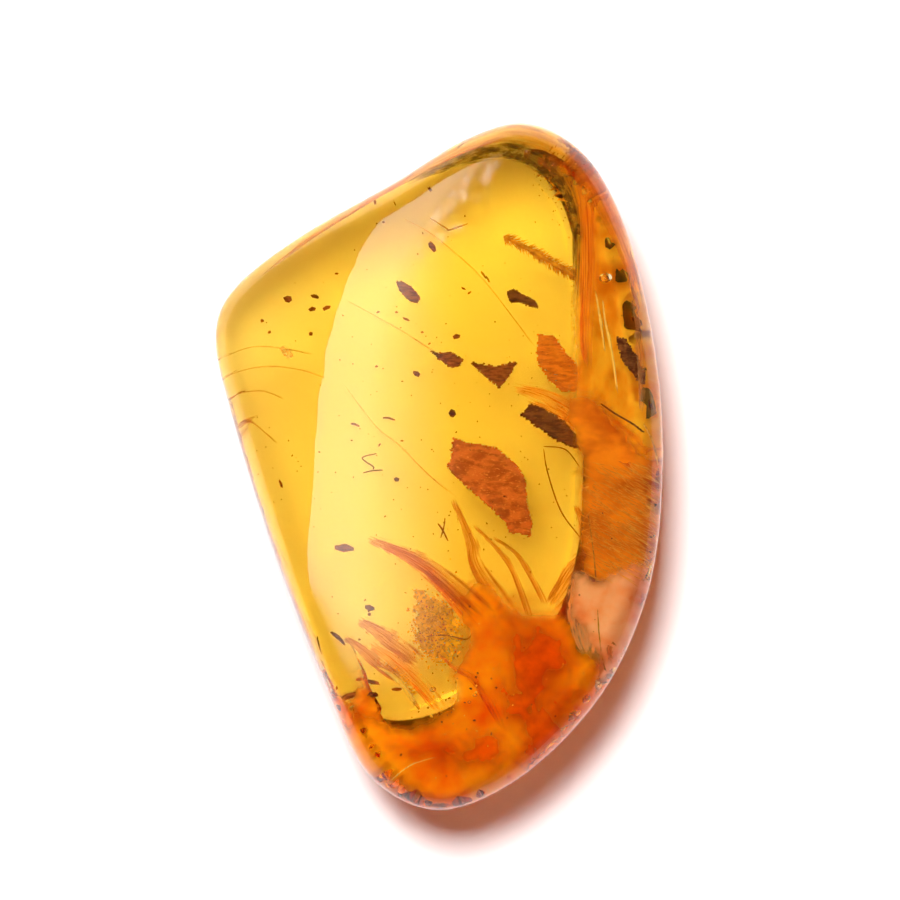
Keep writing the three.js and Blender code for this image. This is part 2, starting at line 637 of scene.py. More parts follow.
ALONG = (1, 4, 1)
bark = mottled("bark", paint(0.16, 0.045, 0.02), paint(0.36, 0.12, 0.05), paint(0.6, 0.26, 0.1), 0.6, ALONG)
dark_bark = mottled(
    "dark_bark", paint(0.09, 0.03, 0.012), paint(0.22, 0.08, 0.03), paint(0.4, 0.2, 0.05), 0.8, ALONG,
)
leaf = mottled(
    "leaf", paint(0.42, 0.11, 0.03), paint(0.7, 0.2, 0.06), paint(0.9, 0.36, 0.12), 1.0, (1, 2, 1), 0.02,
)
rust = mottled(
    "rust", paint(0.6, 0.17, 0.03), paint(0.85, 0.3, 0.05), paint(0.95, 0.45, 0.1), 1.2, ALONG, 0.01, 0.3,
)
foam = mottled(
    "foam", paint(0.7, 0.35, 0.02), paint(0.95, 0.55, 0.04), paint(1.0, 0.75, 0.15), 0.45, worn=0.4,
)
gold_hair = mottled("gold_hair", paint(0.6, 0.25, 0.03), paint(0.85, 0.42, 0.06), paint(1.0, 0.65, 0.18), 0.4)
brown_hair = mottled("brown_hair", paint(0.25, 0.1, 0.02), paint(0.5, 0.25, 0.04), paint(0.8, 0.5, 0.1), 0.4)
# Gold crumbs and the comb are golden. The same finish on the bright flecks, low glints and glint edge is a
# painted highlight: bright grains and a thread that stand for sparkles of light.
gold_crumb_and_glint = mottled("gold_crumb_and_glint", paint(0.6, 0.3, 0.03), paint(0.95, 0.6, 0.1), paint(1.0, 0.85, 0.4), 0.3)


# %% Films that colour the light
def film(name, deep, pale, streak=(2, 12), cover=(0.45, 0.95), crisp=0.3, cloud=0.4):
    """Colours the light in streaks. Cover is the least and most it hides, and crisp its edge's width."""
    material, nodes = blank(name)
    place = nodes.place("UV")
    share, across, _ = nodes.split(place)
    streaks = nodes.noise(1, 5, nodes.mapped(place, scale=(*streak, 1)), 0.5)
    fine = nodes.noise(1, 3, nodes.mapped(place, scale=(streak[0] * 3, streak[1] * 4, 1)), 0.3)
    tear = nodes.noise(1, 5, nodes.mapped(place, scale=(5, 7, 1), shift=(3, 1, 0))) - 0.5
    sharp_edge = (across + tear * 0.5).step(0.12, 0.12 + crisp * 0.4)
    soft_edge = (1 - across + tear * 0.8).step(0.1, 0.25 + crisp)
    ends = (share * 4 * (1 - share) + tear).step(0.1, 0.5)
    tone = streaks * 0.65 + fine * 0.35
    sockets = {
        "Base Color": nodes.blend(tone.step(0.4, 0.62), pale, deep),
        "Alpha": sharp_edge * soft_edge * ends * tone.step(0.35, 0.6, *cover),
        "Roughness": 0.0,
        "IOR": 1.0,
        "Transmission Weight": 1 - cloud,
    }
    return finish(material, nodes, sockets)


orange_film = film("orange_film", paint(0.9, 0.16, 0.02), paint(1.0, 0.4, 0.05))
brown_film = film(
    "brown_film", paint(0.35, 0.06, 0.01), paint(0.7, 0.2, 0.03), cover=(0.5, 1.0), crisp=0.15, cloud=0.3,
)
gold_film = film("gold_film", paint(0.75, 0.35, 0.1), paint(0.9, 0.55, 0.3), crisp=0.2)
coral_film = film("coral_film", paint(1.0, 0.36, 0.12), paint(1.0, 0.6, 0.36), (2, 4), (0.3, 0.8), 0.1, 0.85)
flow_film = film("flow_film", paint(0.6, 0.2, 0.08), paint(0.85, 0.4, 0.2), (8, 3), (0.4, 0.9), 0.4, 0.3)
# Painted glint film: nearly opaque pale gold streaks that stand for light focused along cracks, a painted
# highlight and not a colour of the resin.
painted_glint_film = film(
    "painted_glint_film", paint(1.0, 0.6, 0.05), paint(1.0, 0.85, 0.3), (2, 10), (0.6, 1.0), 0.2, 0.95,
)
# Olive shade film: painted shade. It darkens a band along the upper right rim and a small patch at the lower
# edge of the clear middle, where lines of sight through the foot's edge end in shadow.
olive_shade_film = film(
    "olive_shade_film", paint(0.08, 0.045, 0.004), paint(0.35, 0.2, 0.015), (24, 5), (0.7, 1.0), 0.15, 0.6,
)
rim_film = film("rim_film", paint(0.45, 0.08, 0.005), paint(0.85, 0.25, 0.01), (3, 3), (0.6, 0.95), 0.5, 0.5)
red_film = film("red_film", paint(0.5, 0.04, 0.01), paint(0.9, 0.12, 0.01), (2, 2), (0.5, 0.9), 0.5, 0.6)


# %% Clouds
def cloud(name, deep, pale, size, cover=(0.85, 1.0), stretch=(1, 1, 1), body=0.9):
    """Billows of colour. The sheet's edge attribute is 0 at its soft edge and 1 well inside it."""
    material, nodes = blank(name)
    place = nodes.mapped(nodes.place(), scale=stretch, turn=(0, 0, 0.5))
    billow = nodes.noise(size * MM, 2, place, 0.4)
    grain = nodes.noise(size * 0.2 * MM, 4, place, 0.3)
    tone = billow * 0.75 + grain * 0.25
    edge = nodes.node("ShaderNodeAttribute", {"attribute_name": "edge"}, out="Fac")
    sockets = {
        "Base Color": nodes.blend(tone.step(0.3, 0.7), deep, pale),
        "Alpha": (edge + (tone - 0.5) * 0.8).step(0.0, 0.9) * billow.step(0.3, 0.6, *cover),
        "Roughness": grain.step(0.3, 0.7, 0.6, 0.9),
        "Specular IOR Level": 0.0,
        "IOR": 1.0,
        "Transmission Weight": 1 - body,
    }
    return finish(material, nodes, sockets)


orange_cloud = cloud("orange_cloud", paint(0.92, 0.12, 0.0), paint(1.0, 0.4, 0.01), 4.0)
brown_cloud = cloud("brown_cloud", paint(0.65, 0.15, 0.01), paint(0.95, 0.33, 0.02), 3.0, stretch=(1, 1.6, 1))
# Coral sheen cloud: pale pink sheets where cracks lie in the lower right; their whitish pink is painted
# reflection, the light the crack planes would reflect.
coral_cloud = cloud("coral_cloud", paint(0.95, 0.25, 0.08), paint(1.0, 0.6, 0.36), 3.0, (0.7, 0.95))
amber_cloud = cloud(
    "amber_cloud", paint(0.95, 0.3, 0.01), paint(1.0, 0.62, 0.06), 3.5, (0.65, 0.95), (2, 1, 1),
)
red_cloud = cloud("red_cloud", paint(0.4, 0.02, 0.0), paint(0.85, 0.1, 0.0), 2.5, (0.35, 0.85))


# %% Gas bubbles and glints
def clear_glass(name, ratio):
    material, nodes = blank(name)
    shade = nodes.noise(0.2 * MM).step(0.3, 0.7, 0.0, 0.03)
    glass = nodes.node(
        "ShaderNodeBsdfGlass", sockets={"Color": paint(1, 1, 1), "Roughness": shade, "IOR": ratio},
    )
    output = nodes.tree.nodes.new("ShaderNodeOutputMaterial")
    nodes.plug(glass, output.inputs["Surface"])
    return material


gas = clear_glass("gas", 1 / AMBER_IOR)

# %% [markdown]
# ## Bark chips and splinters
#
# Each chip starts as a short cylinder with few sides. Its corners are moved at random, it is subdivided
# with a fractal roughness, and it is squashed to a flat scrap.

# %% Chips
def chip(name, x, y, long, wide, turn, share, material, sides=7, seed=1):
    piece = fresh("cylinder", name, vertices=sides, radius=0.5, depth=0.5)
    with editing(piece):
        bpy.ops.transform.vertex_random(offset=0.16, seed=seed)
        bpy.ops.mesh.poke()
        bpy.ops.mesh.subdivide(number_cuts=2, fractal=0.6, fractal_along_normal=0.5, seed=seed)
    thick = min(0.35, 0.4 * wide)
    lie = Matrix.Rotation(math.radians(turn), 4, "Z") @ Matrix.Rotation(0.3, 4, "Y")
    piece.data.transform(Matrix.Translation((x, y, 0)) @ lie @ Matrix.Diagonal((long, wide, thick, 1)))
    sink(piece, share)
    return finish_piece(piece, material, smooth=False)


# Name, place, length, width, turn in degrees, share of the way down, finish and number of sides.
CHIPS = [
    ("chip_small", -0.4, 15.4, 1.0, 0.4, -60, 0.5, bark, 6),
    ("chip_bar", -6.6, -5.7, 1.6, 0.5, -3, 0.5, bark, 6),
    ("chip_crumb", -4.8, -9.9, 0.8, 0.4, -12, 0.5, dark_bark, 6),
    ("chip_dot", -4.8, -10.35, 0.3, 0.25, 0, 0.5, dark_bark, 5),
    ("chip_a", -1.5, 6.5, 0.6, 0.4, -30, 0.5, bark, 6),
    ("chip_b", 1.0, 3.7, 0.55, 0.6, 20, 0.5, dark_bark, 6),
    ("chip_c", 1.3, 9.1, 0.6, 0.35, 10, 0.5, bark, 5),
    ("chip_d", -2.9, -0.9, 0.4, 0.3, 0, 0.5, dark_bark, 5),
    ("chip_left_star", -10.5, 11.7, 0.65, 0.5, 10, 0.6, bark, 6),
    ("chip_left_a", -8.6, 11.9, 0.75, 0.3, -10, 0.6, dark_bark, 5),
    ("chip_left_b", -8.8, 11.0, 0.6, 0.3, 15, 0.6, bark, 5),
    ("chip_left_c", -7.8, 11.1, 0.7, 0.3, 20, 0.6, bark, 5),
    ("chip_left_d", -8.9, 9.3, 0.3, 0.3, 0, 0.6, bark, 5),
    ("chip_left_e", -12.3, 10.2, 0.3, 0.25, 0, 0.6, bark, 5),
    ("chip_left_f", -11.8, 9.4, 0.3, 0.2, 30, 0.6, bark, 5),
    ("splinter_left", -11.0, -1.2, 0.7, 0.18, -65, 0.4, bark, 5),
    ("splinter_low", -7.0, -12.0, 1.2, 0.22, -38, 0.5, dark_bark, 5),
    ("chip_rod_a", 3.2, 13.4, 0.75, 0.16, -55, 0.45, brown_hair, 5),
    ("chip_rod_b", 3.5, 13.1, 0.6, 0.14, -60, 0.45, brown_hair, 5),
    ("chip_leg_a", 1.8, 12.45, 0.4, 0.14, -30, 0.45, bark, 5),
    ("chip_leg_b", 2.2, 12.15, 0.35, 0.14, 40, 0.45, bark, 5),
    ("chip_right", 10.2, -11.5, 0.6, 0.3, -20, 0.4, dark_bark, 6),
    ("speck_right_a", 14.1, -3.4, 0.4, 0.3, 0, 0.5, dark_bark, 5),
    ("speck_right_b", 13.7, -5.2, 0.35, 0.3, 0, 0.5, dark_bark, 5),
    ("spot_low_a", -6.4, -16.1, 0.5, 0.35, 10, 0.35, bark, 6),
    ("spot_low_b", -7.0, -16.9, 0.5, 0.3, 60, 0.35, bark, 6),
    ("seed_low_a", -5.5, -14.9, 0.5, 0.25, 10, 0.5, bark, 6),
    ("seed_low_b", -4.5, -15.1, 0.9, 0.35, -12, 0.5, bark, 6),
    ("speck_a", -4.2, 10.8, 0.3, 0.15, 20, 0.5, bark, 5),
    ("speck_b", -2.9, 10.8, 0.25, 0.15, 0, 0.5, bark, 5),
    ("speck_c", -2.2, 10.3, 0.6, 0.18, -25, 0.5, bark, 5),
    ("speck_d", -1.1, 9.4, 0.25, 0.15, 0, 0.5, bark, 5),
    ("speck_e", -0.6, 8.6, 0.25, 0.12, 40, 0.5, bark, 5),
    ("speck_f", -4.3, 7.0, 0.25, 0.15, 0, 0.5, bark, 5),
    ("speck_g", -4.1, 1.5, 0.3, 0.12, 60, 0.5, bark, 5),
    ("speck_h", -2.5, 1.8, 0.25, 0.12, 0, 0.5, bark, 5),
    ("speck_i", -3.8, 17.1, 0.25, 0.15, 0, 0.5, bark, 5),
    ("speck_j", -0.55, 19.4, 0.25, 0.15, 0, 0.5, bark, 5),
    ("speck_k", -7.1, 13.5, 0.3, 0.15, 0, 0.5, bark, 5),
    ("bead_low", -2.9, -15.6, 0.8, 0.25, 0, 0.5, bark, 6),
]
for number, (name, x, y, long, wide, turn, share, material, sides) in enumerate(CHIPS):
    chip(name, x, y, long, wide, turn, share, material, sides, seed=number + 1)
print("chips:", len(CHIPS))

# %% [markdown]
# ## Leaf, flakes and shards
#
# The largest scrap is a piece of leaf with a torn, toothed edge. It and the other flakes are cut out of a
# fine grid, rumpled, sunk into place and given a little thickness.

# %% Flakes cut to an outline
def flake(name, outline, share, fall, thick, material, tear=0.15, cell=0.09, seed=1.0, bumps=0.12):
    piece = cut_sheet(name, outline, cell, tear, seed)
    rumple(piece, 1.2, bumps, seed)
    sink(piece, share, fall)
    apply_modifier(piece, "SOLIDIFY", thickness=thick, offset=0)
    return finish_piece(piece, material)


BIG_LEAF = [
    (1.05, 2.07),
    (2.0, 1.65),
    (3.15, 1.5),
    (4.1, 1.3),
    (5.4, 0.25),
    (6.1, -0.9),
    (6.25, -2.8),
    (6.6, -3.9),
    (6.45, -4.9),
    (5.7, -4.65),
    (5.0, -4.6),
    (4.8, -4.0),
    (3.6, -2.8),
    (2.2, -1.6),
    (1.05, -0.5),
    (0.6, 0.15),
    (0.9, 0.3),
]
DARK_FLAKE = [(5.8, 3.6), (6.5, 4.4), (7.3, 4.1), (8.8, 3.2), (10.3, 1.5), (9.9, 1.2), (8.3, 1.8), (6.9, 2.8)]
RUST_FLAKE = [
    (7.0, 9.3), (8.2, 9.1), (8.9, 8.0), (10.1, 6.8), (10.9, 5.4), (8.7, 5.2), (7.8, 6.0), (6.9, 7.4),
]
TRIANGLE = [(2.3, 7.3), (4.0, 7.0), (5.6, 7.4), (5.1, 6.5), (4.3, 5.5), (3.3, 6.3)]
SHARD = [(12.45, 9.1), (13.1, 8.9), (13.9, 7.6), (14.5, 6.3), (14.25, 5.75), (13.6, 6.6), (12.9, 7.4)]
DIAMOND = [(-0.55, 8.1), (0.1, 7.95), (0.9, 8.0), (1.75, 7.5), (1.5, 7.0), (0.8, 6.95), (0.1, 7.5)]
SLAB = [(-2.9, 12.9), (-2.5, 12.95), (-1.9, 12.6), (-1.2, 11.8), (-1.5, 11.45), (-2.0, 11.6), (-2.7, 12.3)]
HEAD = [
    (4.8, 12.2), (5.3, 12.4), (6.0, 12.0), (6.8, 11.6), (7.05, 11.1), (6.4, 11.2), (5.8, 11.5), (5.0, 11.5),
]
SHARD_PRONG = [(13.7, 7.9), (13.95, 7.7), (13.5, 6.9), (13.3, 7.1)]

flake("big_leaf", BIG_LEAF, 0.4, (0.015, -0.01), 0.15, leaf, tear=0.13, cell=0.08, seed=2.0)
flake("dark_flake", DARK_FLAKE, 0.3, (0.02, 0.0), 0.15, dark_bark, tear=0.1, seed=3.0, bumps=0.05)
flake("rust_flake", RUST_FLAKE, 0.5, (0.03, 0.02), 0.04, rust, tear=0.15, seed=4.0, bumps=0.05)
flake("bark_triangle", TRIANGLE, 0.4, (0.02, 0.0), 0.15, bark, tear=0.12, seed=5.0)
flake("dark_shard", SHARD, 0.3, (0.02, 0.0), 0.15, dark_bark, tear=0.1, seed=6.0)
flake("dark_shard_prong", SHARD_PRONG, 0.3, (0.02, 0.0), 0.15, dark_bark, tear=0.1, seed=7.0)
flake("diamond", DIAMOND, 0.4, (0.02, 0.0), 0.15, bark, tear=0.1, cell=0.06, seed=8.0)
flake("slab", SLAB, 0.42, (0.0, 0.03), 0.15, bark, tear=0.08, cell=0.06, seed=9.0)
PATCH = [
    (-1.6, -8.6), (-0.6, -8.8), (0.4, -9.6), (1.3, -10.6), (1.5, -12.2), (0.8, -13.8), (-0.4, -13.6),
    (-1.6, -12.4),
]
flake("foam_patch", PATCH, 0.4, (0.0, 0.0), 0.05, foam, tear=0.4, seed=12.0)
flake("dark_head", HEAD, 0.4, (0.0, 0.03), 0.15, dark_bark, tear=0.08, cell=0.06, seed=10.0)

# %% [markdown]
# ## Threads and a hairy twig
#
# The jointed threads are the remains of insects: bits of leg and feeler. The golden twig carries a fringe
# of fine hairs. One curved hair is modelled, and copies of it are turned and stretched along the twig.

# %% Threads
# Name, points, thickness, share of the way down, and finish.
THREADS = [
    (
        "leg_top",
        [(-0.56, 17.4), (0.56, 16.7), (0.77, 16.55), (1.54, 16.8), (2.1, 17.0)],
        0.1,
        0.4,
        brown_hair,
    ),
    ("leg_joint_upper", [(-4.3, 0.9), (-5.3, 0.6), (-4.55, 0.0), (-4.55, -0.2)], 0.1, 0.5, dark_bark),
    ("leg_joint_lower", [(-5.25, -0.45), (-4.6, -0.3), (-3.85, -0.25)], 0.1, 0.5, dark_bark),
    ("feeler_club", [(-6.1, 3.0), (-5.8, 2.95), (-5.5, 2.8)], 0.16, 0.5, bark),
    ("feeler_tail", [(-3.85, 3.4), (-3.5, 3.4), (-3.0, 3.25)], 0.14, 0.5, bark),
    ("prong_low", [(-7.5, -11.6), (-7.0, -11.9), (-6.5, -12.5)], 0.2, 0.5, dark_bark),
    ("thread_a", [(0.0, -4.0), (0.3, -4.4), (0.7, -5.2)], 0.12, 0.5, bark),
    ("thread_b", [(0.5, -3.6), (0.4, -4.3), (0.2, -5.0)], 0.1, 0.5, bark),
    ("crack_thread", [(11.4, 4.4), (12.4, 3.7), (13.6, 3.0), (14.4, 2.4)], 0.13, 0.3, dark_bark),
    ("line_a", [(7.4, 1.4), (8.9, 1.2), (9.9, 0.0)], 0.08, 0.4, bark),
    ("line_b", [(7.4, 1.2), (7.7, -0.5), (8.6, -3.1), (9.9, -4.9), (10.8, -6.1)], 0.09, 0.45, bark),
    (
        "wiggle",
        [(-0.8, -11.9), (0.4, -11.8), (1.2, -11.95), (2.0, -12.1), (2.5, -11.7), (3.6, -11.4)],
        0.09,
        0.35,
        bark,
    ),
    (
        "crack_line",
        [(10.5, -3.3), (10.9, -6.1), (11.1, -8.6), (11.3, -11.9), (11.6, -13.9), (11.9, -14.7)],
        0.1,
        0.3,
        brown_hair,
    ),
    # glint_edge is a painted highlight: a bright gold thread under the crown for a glint along the right rim.
    ("glint_edge", [(14.4, 3.0), (15.05, 1.7), (15.4, 0.1)], 0.12, 0.12, gold_crumb_and_glint),
    (
        "comb_stem",
        [(-4.3, -14.0), (-3.4, -14.4), (-2.45, -15.2), (-1.9, -16.1), (-1.3, -17.0)],
        0.3,
        0.4,
        gold_crumb_and_glint,
    ),
]
for name, points, thick, share, material in THREADS:
    piece = thread(name, points, thick)
    sink(piece, share)
    finish_piece(piece, material)

# %% Hairs along a stem
hair = hair_pattern()


def fringe(name, spine, share, count, long, thick, spread, material, seed, both_sides=True):
    """Hairs that stand out along a spine, at an angle of about spread degrees from it."""
    random.seed(seed)
    places = []
    for _ in range(count):
        where = random.random()
        side = random.choice((-1, 1)) if both_sides else 1
        point, ahead = along(spine, where), heading(spine, where)
        angle = math.radians(spread * random.uniform(0.6, 1.4)) * side
        direction = Matrix.Rotation(angle, 3, "Z") @ ahead + Vector((0, 0, random.uniform(-0.5, 0.5)))
        size = long * random.uniform(0.5, 1.2)
        places.append(aimed(inside(point.x, point.y, share), direction, (size, thick, thick)))
    return finish_piece(scatter(name, hair, places), material)


TWIG = [(4.6, 16.1), (6.4, 15.2), (7.4, 14.6), (8.75, 13.8), (9.7, 13.3), (10.8, 12.3)]
twig = thread("hairy_twig", TWIG, 0.34)
rumple(twig, 0.25, 0.08, 4.0)
sink(twig, 0.45)
finish_piece(twig, gold_hair)
fringe("hairy_twig_fringe", TWIG, 0.45, 520, 0.6, 0.045, 45, gold_hair, seed=2)
COMB = [(-4.3, -14.0), (-3.4, -14.4), (-2.45, -15.2), (-1.9, -16.1)]
fringe("comb_fringe", COMB, 0.4, 60, 0.6, 0.05, 75, gold_crumb_and_glint, seed=3, both_sides=False)
CRUST_EDGE = [(9.45, 20.0), (9.6, 18.0), (9.6, 16.0), (9.45, 14.0), (9.45, 11.5), (9.45, 9.5)]
fringe("crust_fringe", CRUST_EDGE, 0.55, 260, 0.16, 0.02, 80, brown_hair, seed=4)

# %% Brushed hair on the right
random.seed(5)
places = []
for _ in range(420):
    x, y = random.uniform(9.9, 14.9), random.uniform(-7.6, 0.4)
    slope = math.radians(random.gauss(-26, 7) - (x - 10) * 3)
    direction = Vector((math.cos(slope), math.sin(slope), random.uniform(-0.15, 0.15)))
    long = random.uniform(0.6, 1.7)
    places.append(aimed(inside(x, y, random.uniform(0.2, 0.34)), direction, (long, 0.036, 0.036)))
finish_piece(scatter("brushed_hair", hair, places), gold_hair)

EDGE_FRINGE = [(10.7, -1.0), (10.7, -3.0), (10.9, -5.2)]
fringe("edge_fringe", EDGE_FRINGE, 0.3, 90, 0.7, 0.04, 60, gold_hair, seed=6)

# %% [markdown]
# ## Clouds, flow films and lines
#
# The right side and the lower end are clouded orange: soft-edged sheets of milky colour lie a few
# millimetres under the crown, and each thins out at its edge and stops where it would leave the stone.
# The pale coral cloud at the lower right is painted reflection: its whitish pink stands for light off cracks.
#
# Resin ran down the tree in coats, and each coat's skin stays as a faint line or an orange film. A film
# that lies across the line of sight shows as a band. One that hangs down it shows as a fine line. Some
# bands are painted light: pale gold glint bands are painted highlights, and the dark olive band along the
# upper right rim is painted shade.

# %% Clouds of orange resin
# Name, finish, depth and soft edge in mm, and outline.
CLOUDS = [
    (
        "low_cloud",
        orange_cloud,
        4.6,
        1.4,
        [
            (2.6, -6.6), (4.6, -8.8), (6.4, -9.8), (8.8, -9.6), (10.4, -12.5), (15, -16), (10, -27),
            (-6, -28),
            (-12, -15), (-8.5, -14.2), (-6, -15.6), (-4.4, -17.2), (-2.4, -17.8), (-0.6, -17.4), (0.6, -16.2),
            (0.6, -14.4), (1.6, -12), (1, -9.2),
        ],
    ),
    (
        "right_cloud",
        brown_cloud,
        3.8,
        1.4,
        [
            (9.4, -1), (9.2, 1.8), (8.0, 4.4), (9.0, 6.0), (11.4, 5.2), (13.2, 3.4), (15, 1), (20, -1),
            (20, -8), (13, -9.5),
            (11, -8.6), (9.4, -8.6), (9.7, -6),
        ],
    ),
    # Painted reflection: its whitish pink stands for light reflected off crack planes.
    (
        "coral_cloud",
        coral_cloud,
        3.0,
        1.2,
        [(9.6, -6.8), (11, -7.6), (13, -6.6), (20, -6), (18, -14), (12, -18), (10.6, -13.4), (8.4, -10)],
    ),
    (
        "ring_cloud",
        amber_cloud,
        5.2,
        1.0,
        [
            (9.2, 21.5), (9.2, 14), (9.2, 8.6), (9.4, 4), (12, 1), (20, -3), (20, 12), (16, 20), (11, 27),
            (8, 24), (8.8, 22.2),
        ],
    ),
    (
        "red_cloud_right",
        red_cloud,
        2.4,
        2.4,
        [(3.4, -8.6), (7.4, -8.4), (10.4, -13), (10.4, -19), (6.4, -23), (3.6, -17)],
    ),
    (
        "red_cloud_low",
        red_cloud,
        2.4,
        2.0,
        [(-5.6, -19), (-1, -18.6), (5, -18), (6, -21), (2, -22), (-3, -21)],
    ),
]
THICK = 10.0  # mm of amber under which a cloud lies at its full depth
for name, material, depth, soft, outline in CLOUDS:
    sheet = soft_sheet(name, outline, soft, len(name))
    rumple(sheet, 3.0, 0.2, len(name))
    sink(sheet, depth / THICK, most=depth)
    finish_piece(sheet, material)

# %% Bands
# Name, finish, share of the way down, and a spine of x, y and width.
BANDS = [
    (
        "ring_shade",
        orange_film,
        0.35,
        [(9, 22, 1), (10.3, 19, 1.6), (10.6, 14, 1.8), (10.4, 9, 1.4), (10.6, 6.6, 0.6)],
    ),
    # The bright ridge and streak are painted highlights: pale gold films for light focused along cracks.
    (
        "bright_ridge",
        painted_glint_film,
        0.2,
        [(11.55, 11.7, 0.15), (11.7, 10.3, 0.25), (12.2, 7.9, 0.3), (12.6, 4.9, 0.15)],
    ),
    ("bright_streak", painted_glint_film, 0.25, [(11.0, 12.4, 0.15), (11.4, 10.2, 0.3), (11.7, 7.9, 0.15)]),
    ("bright_edge", gold_film, 0.2, [(13.4, 14, 0.3), (14.0, 10, 0.8), (14.3, 6, 0.8), (14.2, 3.6, 0.3)]),
    (
        "top_rim",
        rim_film,
        0.08,
        [
            (-13, 12.8, 0.3), (-9, 16, 0.7), (-3, 19.8, 1.2), (2.4, 22.7, 1.8), (6, 23.4, 2.4),
            (9.8, 21.6, 2.6), (12.2, 17.6, 2.4), (13.8, 13.6, 1.6), (14.6, 11, 0.5),
        ],
    ),
    (
        "left_rim",
        rim_film,
        0.08,
        [(-14.8, 5, 0.3), (-13.6, 0, 0.9), (-11.4, -6, 1.2), (-9.6, -10.6, 1.3), (-8.2, -14, 1.5)],
    ),
    # Painted shade: the dark olive band along the upper right rim, where lines of sight through the foot's
    # edge end in shadow; the crust specks beside it are separate pieces.
    (
        "crust_band",
        olive_shade_film,
        0.16,
        [
            (-3, 19.5, 0.4), (0, 20.9, 1), (3, 22, 1.6), (5.5, 22.1, 2), (7.4, 21.2, 2), (8.8, 19.8, 1.6),
            (9.6, 17.6, 1), (9.7, 14, 0.7), (9.6, 10, 0.3),
        ],
    ),
    ("pink_blob", coral_film, 0.4, [(-11.0, 8.4, 0.4), (-10.6, 8.0, 0.8), (-10.2, 7.6, 0.4)]),
    # Painted shade: a small dark olive patch at the lower edge of the clear middle.
    ("olive_patch", olive_shade_film, 0.5, [(-1.2, -18.0, 0.2), (-0.3, -18.0, 0.6), (0.5, -17.6, 0.3)]),
    # Painted highlights: pale gold streaks for glints at the lower end and along the comb.
    ("low_streak", painted_glint_film, 0.2, [(-3.3, -22.0, 0.05), (-1.9, -20.9, 0.1), (0.0, -20.3, 0.05)]),
    (
        "comb_glow",
        painted_glint_film,
        0.3,
        [(-4.4, -13.9, 0.2), (-3.2, -14.6, 0.5), (-2.2, -15.6, 0.5), (-1.5, -16.8, 0.2)],
    ),
    (
        "veil_band",
        orange_film,
        0.4,
        [(5.2, 5.6, 0.9), (7.5, 5, 1.8), (9.6, 3.9, 2.6), (11.7, 2.7, 3.2), (15.6, -0.8, 3.6)],
    ),
    ("veil_band_low", orange_film, 0.55, [(6.2, 4.6, 0.8), (8.4, 3.6, 1.8), (10.8, 2, 2.6), (15.2, -1.8, 3)]),
    (
        "fibre_band",
        brown_film,
        0.35,
        [(-5, -5, 0.7), (-3.2, -5.7, 1.2), (-1.6, -6.4, 1.5), (0.3, -7.7, 2), (3.8, -10.8, 2.6)],
    ),
    (
        "fibre_band_under",
        orange_film,
        0.5,
        [(-4, -5.4, 0.9), (-1.6, -6.6, 1.6), (0.4, -8.1, 2.2), (4.4, -12.2, 3.4)],
    ),
    (
        "wisp_band",
        brown_film,
        0.45,
        [(1, -2.2, 0.5), (1.7, -3.7, 0.8), (2.4, -5.4, 1.2), (2.9, -7.2, 1.6), (5.4, -10.9, 2.4)],
    ),
    (
        "curve_band_a",
        brown_film,
        0.5,
        [(2.4, -4, 0.3), (4.1, -5.7, 0.5), (5.3, -7.4, 0.6), (6.65, -11.2, 0.7)],
    ),
    (
        "curve_band_b",
        brown_film,
        0.5,
        [(3.8, -4.9, 0.3), (5.5, -6.1, 0.5), (6.65, -7.9, 0.6), (7.6, -9.8, 0.6)],
    ),
    ("wedge", brown_film, 0.4, [(9.6, -2.6, 0.4), (10.2, -4, 1.1), (10.4, -5.2, 1), (10.6, -6.4, 0.4)]),
    (
        "ragged_patch",
        brown_film,
        0.45,
        [(10.6, -5.8, 0.8), (9.8, -6.9, 1.8), (8.9, -8.4, 2), (7.8, -10, 1.4)],
    ),
    # Painted reflection: a pale pink film for light reflected off a crack plane.
    (
        "coral_facet",
        coral_film,
        0.35,
        [(9.6, -7.6, 0.8), (9.9, -9.2, 2.2), (10.2, -11.2, 2.6), (10.6, -13.4, 1.2)],
    ),
    ("edge_veil", gold_film, 0.4, [(12, -5.8, 2.4), (12.6, -8.6, 3.4), (12.8, -11.4, 3), (12.4, -14.4, 1.2)]),
    (
        "crescent",
        red_film,
        0.3,
        [(0, -13, 0.3), (1.1, -14, 0.7), (2.5, -14.8, 1), (3.4, -16.2, 1), (4.8, -18.8, 0.4)],
    ),
    (
        "bundle_a",
        brown_film,
        0.35,
        [(-5.6, -10.7, 0.8), (-4.2, -11.5, 1.6), (-2.8, -12.5, 1.9), (-1.1, -13.8, 1.6)],
    ),
    ("bundle_b", brown_film, 0.4, [(-6.6, -11.9, 0.5), (-5.4, -12.7, 1.1), (-4, -13.9, 1.3), (-2.6, -15, 1)]),
    (
        "bundle_c",
        orange_film,
        0.45,
        [(-4.8, -12.4, 0.9), (-3.0, -13.6, 1.6), (-1.2, -15.2, 1.8), (0.4, -17.2, 1.4)],
    ),
]
FULL_DEPTH = 12.0  # mm: a band goes no deeper than its share of this
SHALLOW = 0.2
for name, material, share, spine in BANDS:
    band = ribbon(name, spine)
    rumple(band, 1.5, min(0.3, share), len(name))
    sink(band, share, (0.0, 0.0) if share < SHALLOW else (0.02, 0.03), most=FULL_DEPTH * share)
    finish_piece(band, material)

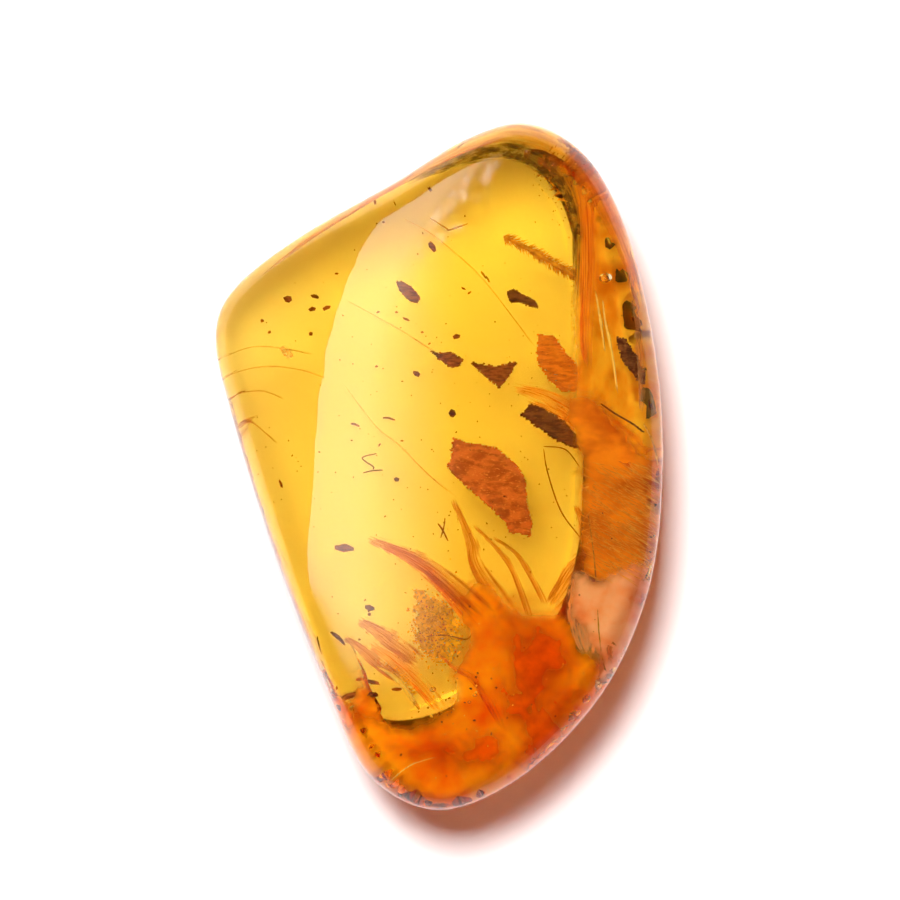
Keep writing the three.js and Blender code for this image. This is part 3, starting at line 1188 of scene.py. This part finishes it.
# %% Fine flow lines
FLOW_LINES = [
    ("flow_a", [(-2.45, 17.4), (-0.2, 16.1), (2.9, 13.4), (5.6, 10.0), (6.9, 8.2)]),
    ("flow_b", [(-6.5, 11.7), (-2.7, 9.6), (0.14, 7.8)]),
    ("flow_c", [(-6.6, 5.8), (-4.4, 2.9), (-2.7, 1.5), (-0.6, -0.6), (1.5, -2.3)]),
    ("flow_d", [(-15.0, 7.7), (-12.8, 8.4), (-10.4, 8.2), (-8.6, 7.8)]),
    ("flow_e", [(-14.8, 6.4), (-12.3, 7.0), (-9.7, 6.8), (-7.6, 6.1)]),
    ("flow_f", [(-14.2, 5.1), (-12.3, 5.3), (-10.7, 4.7)]),
    ("flow_g", [(-13.8, 3.2), (-13.0, 3.1), (-12.1, 2.4), (-11.1, 1.5)]),
]
for name, spine in FLOW_LINES:
    finish_piece(curtain(name, spine, 0.15, 0.7, 0.18), flow_film)

# %% [markdown]
# ## Crumbs, specks and bubbles
#
# A patch of golden crumbs sits low in the stone. Tiny dark specks drift all through it, and a few gas
# bubbles and pits catch the light. Bright gold flecks and glints towards the lower end are painted
# highlights.

# %% Crumbs and specks
grain = grain_pattern()


def crumbs(name, count, spot, spread, share, size, material, seed):
    random.seed(seed)
    places = []
    for _ in range(count):
        x, y = random.gauss(spot[0], spread[0]), random.gauss(spot[1], spread[1])
        direction = Vector((random.gauss(0, 1), random.gauss(0, 1), random.gauss(0, 0.5)))
        large = random.uniform(*size)
        shape = (large * random.uniform(1, 2.2), large, large * 0.7)
        places.append(aimed(inside(x, y, random.uniform(*share)), direction, shape))
    return finish_piece(scatter(name, grain, places), material, smooth=False)


crumbs("gold_crumbs", 420, (-0.4, -11.2), (0.7, 1.1), (0.3, 0.5), (0.05, 0.18), gold_crumb_and_glint, 7)
crumbs("brown_crumbs", 140, (-0.4, -11.2), (0.9, 1.3), (0.3, 0.5), (0.04, 0.12), leaf, 8)
# bright_flecks and low_glints are painted highlights: bright gold grains that stand for sparkles of light.
crumbs("bright_flecks", 26, (1.0, -16.4), (1.4, 1.4), (0.15, 0.3), (0.06, 0.18), gold_crumb_and_glint, 9)
crumbs("crust_crumbs", 160, (9.0, 20.0), (0.8, 1.6), (0.4, 0.55), (0.03, 0.09), bark, 10)
crumbs("specks", 260, (0.0, 0.0), (6.5, 10.0), (0.2, 0.8), (0.03, 0.1), dark_bark, 11)
crumbs("low_specks", 90, (3.0, -12.0), (4.0, 4.5), (0.2, 0.5), (0.05, 0.16), dark_bark, 12)
# Painted highlights: bright gold grains for sparkles of light.
crumbs("low_glints", 60, (4.0, -15.0), (4.0, 3.5), (0.15, 0.35), (0.04, 0.12), gold_crumb_and_glint, 13)

# %% Bubbles and pits
# Place, size and share of the way down.
BUBBLES = [
    (11.7, 13.2, 0.85, 0.3),
    (-0.35, -15.6, 0.45, 0.25),
    (2.6, -16.0, 0.3, 0.3),
    (2.2, -16.5, 0.25, 0.3),
    (6.2, 22.0, 0.3, 0.1),
    (8.0, 21.1, 0.3, 0.1),
    (9.7, 21.2, 0.3, 0.1),
    (10.2, 20.7, 0.25, 0.1),
]
for number, (x, y, size, share) in enumerate(BUBBLES):
    bubble = fresh("uv_sphere", f"bubble_{number + 1}", segments=24, ring_count=12, radius=size / 2)
    with editing(bubble):
        bpy.ops.transform.resize(value=(1.0, 0.85, 0.8))
    bubble.data.transform(Matrix.Translation(inside(x, y, share)))
    finish_piece(bubble, gas)

for pattern in (hair, grain):
    bpy.data.objects.remove(pattern)
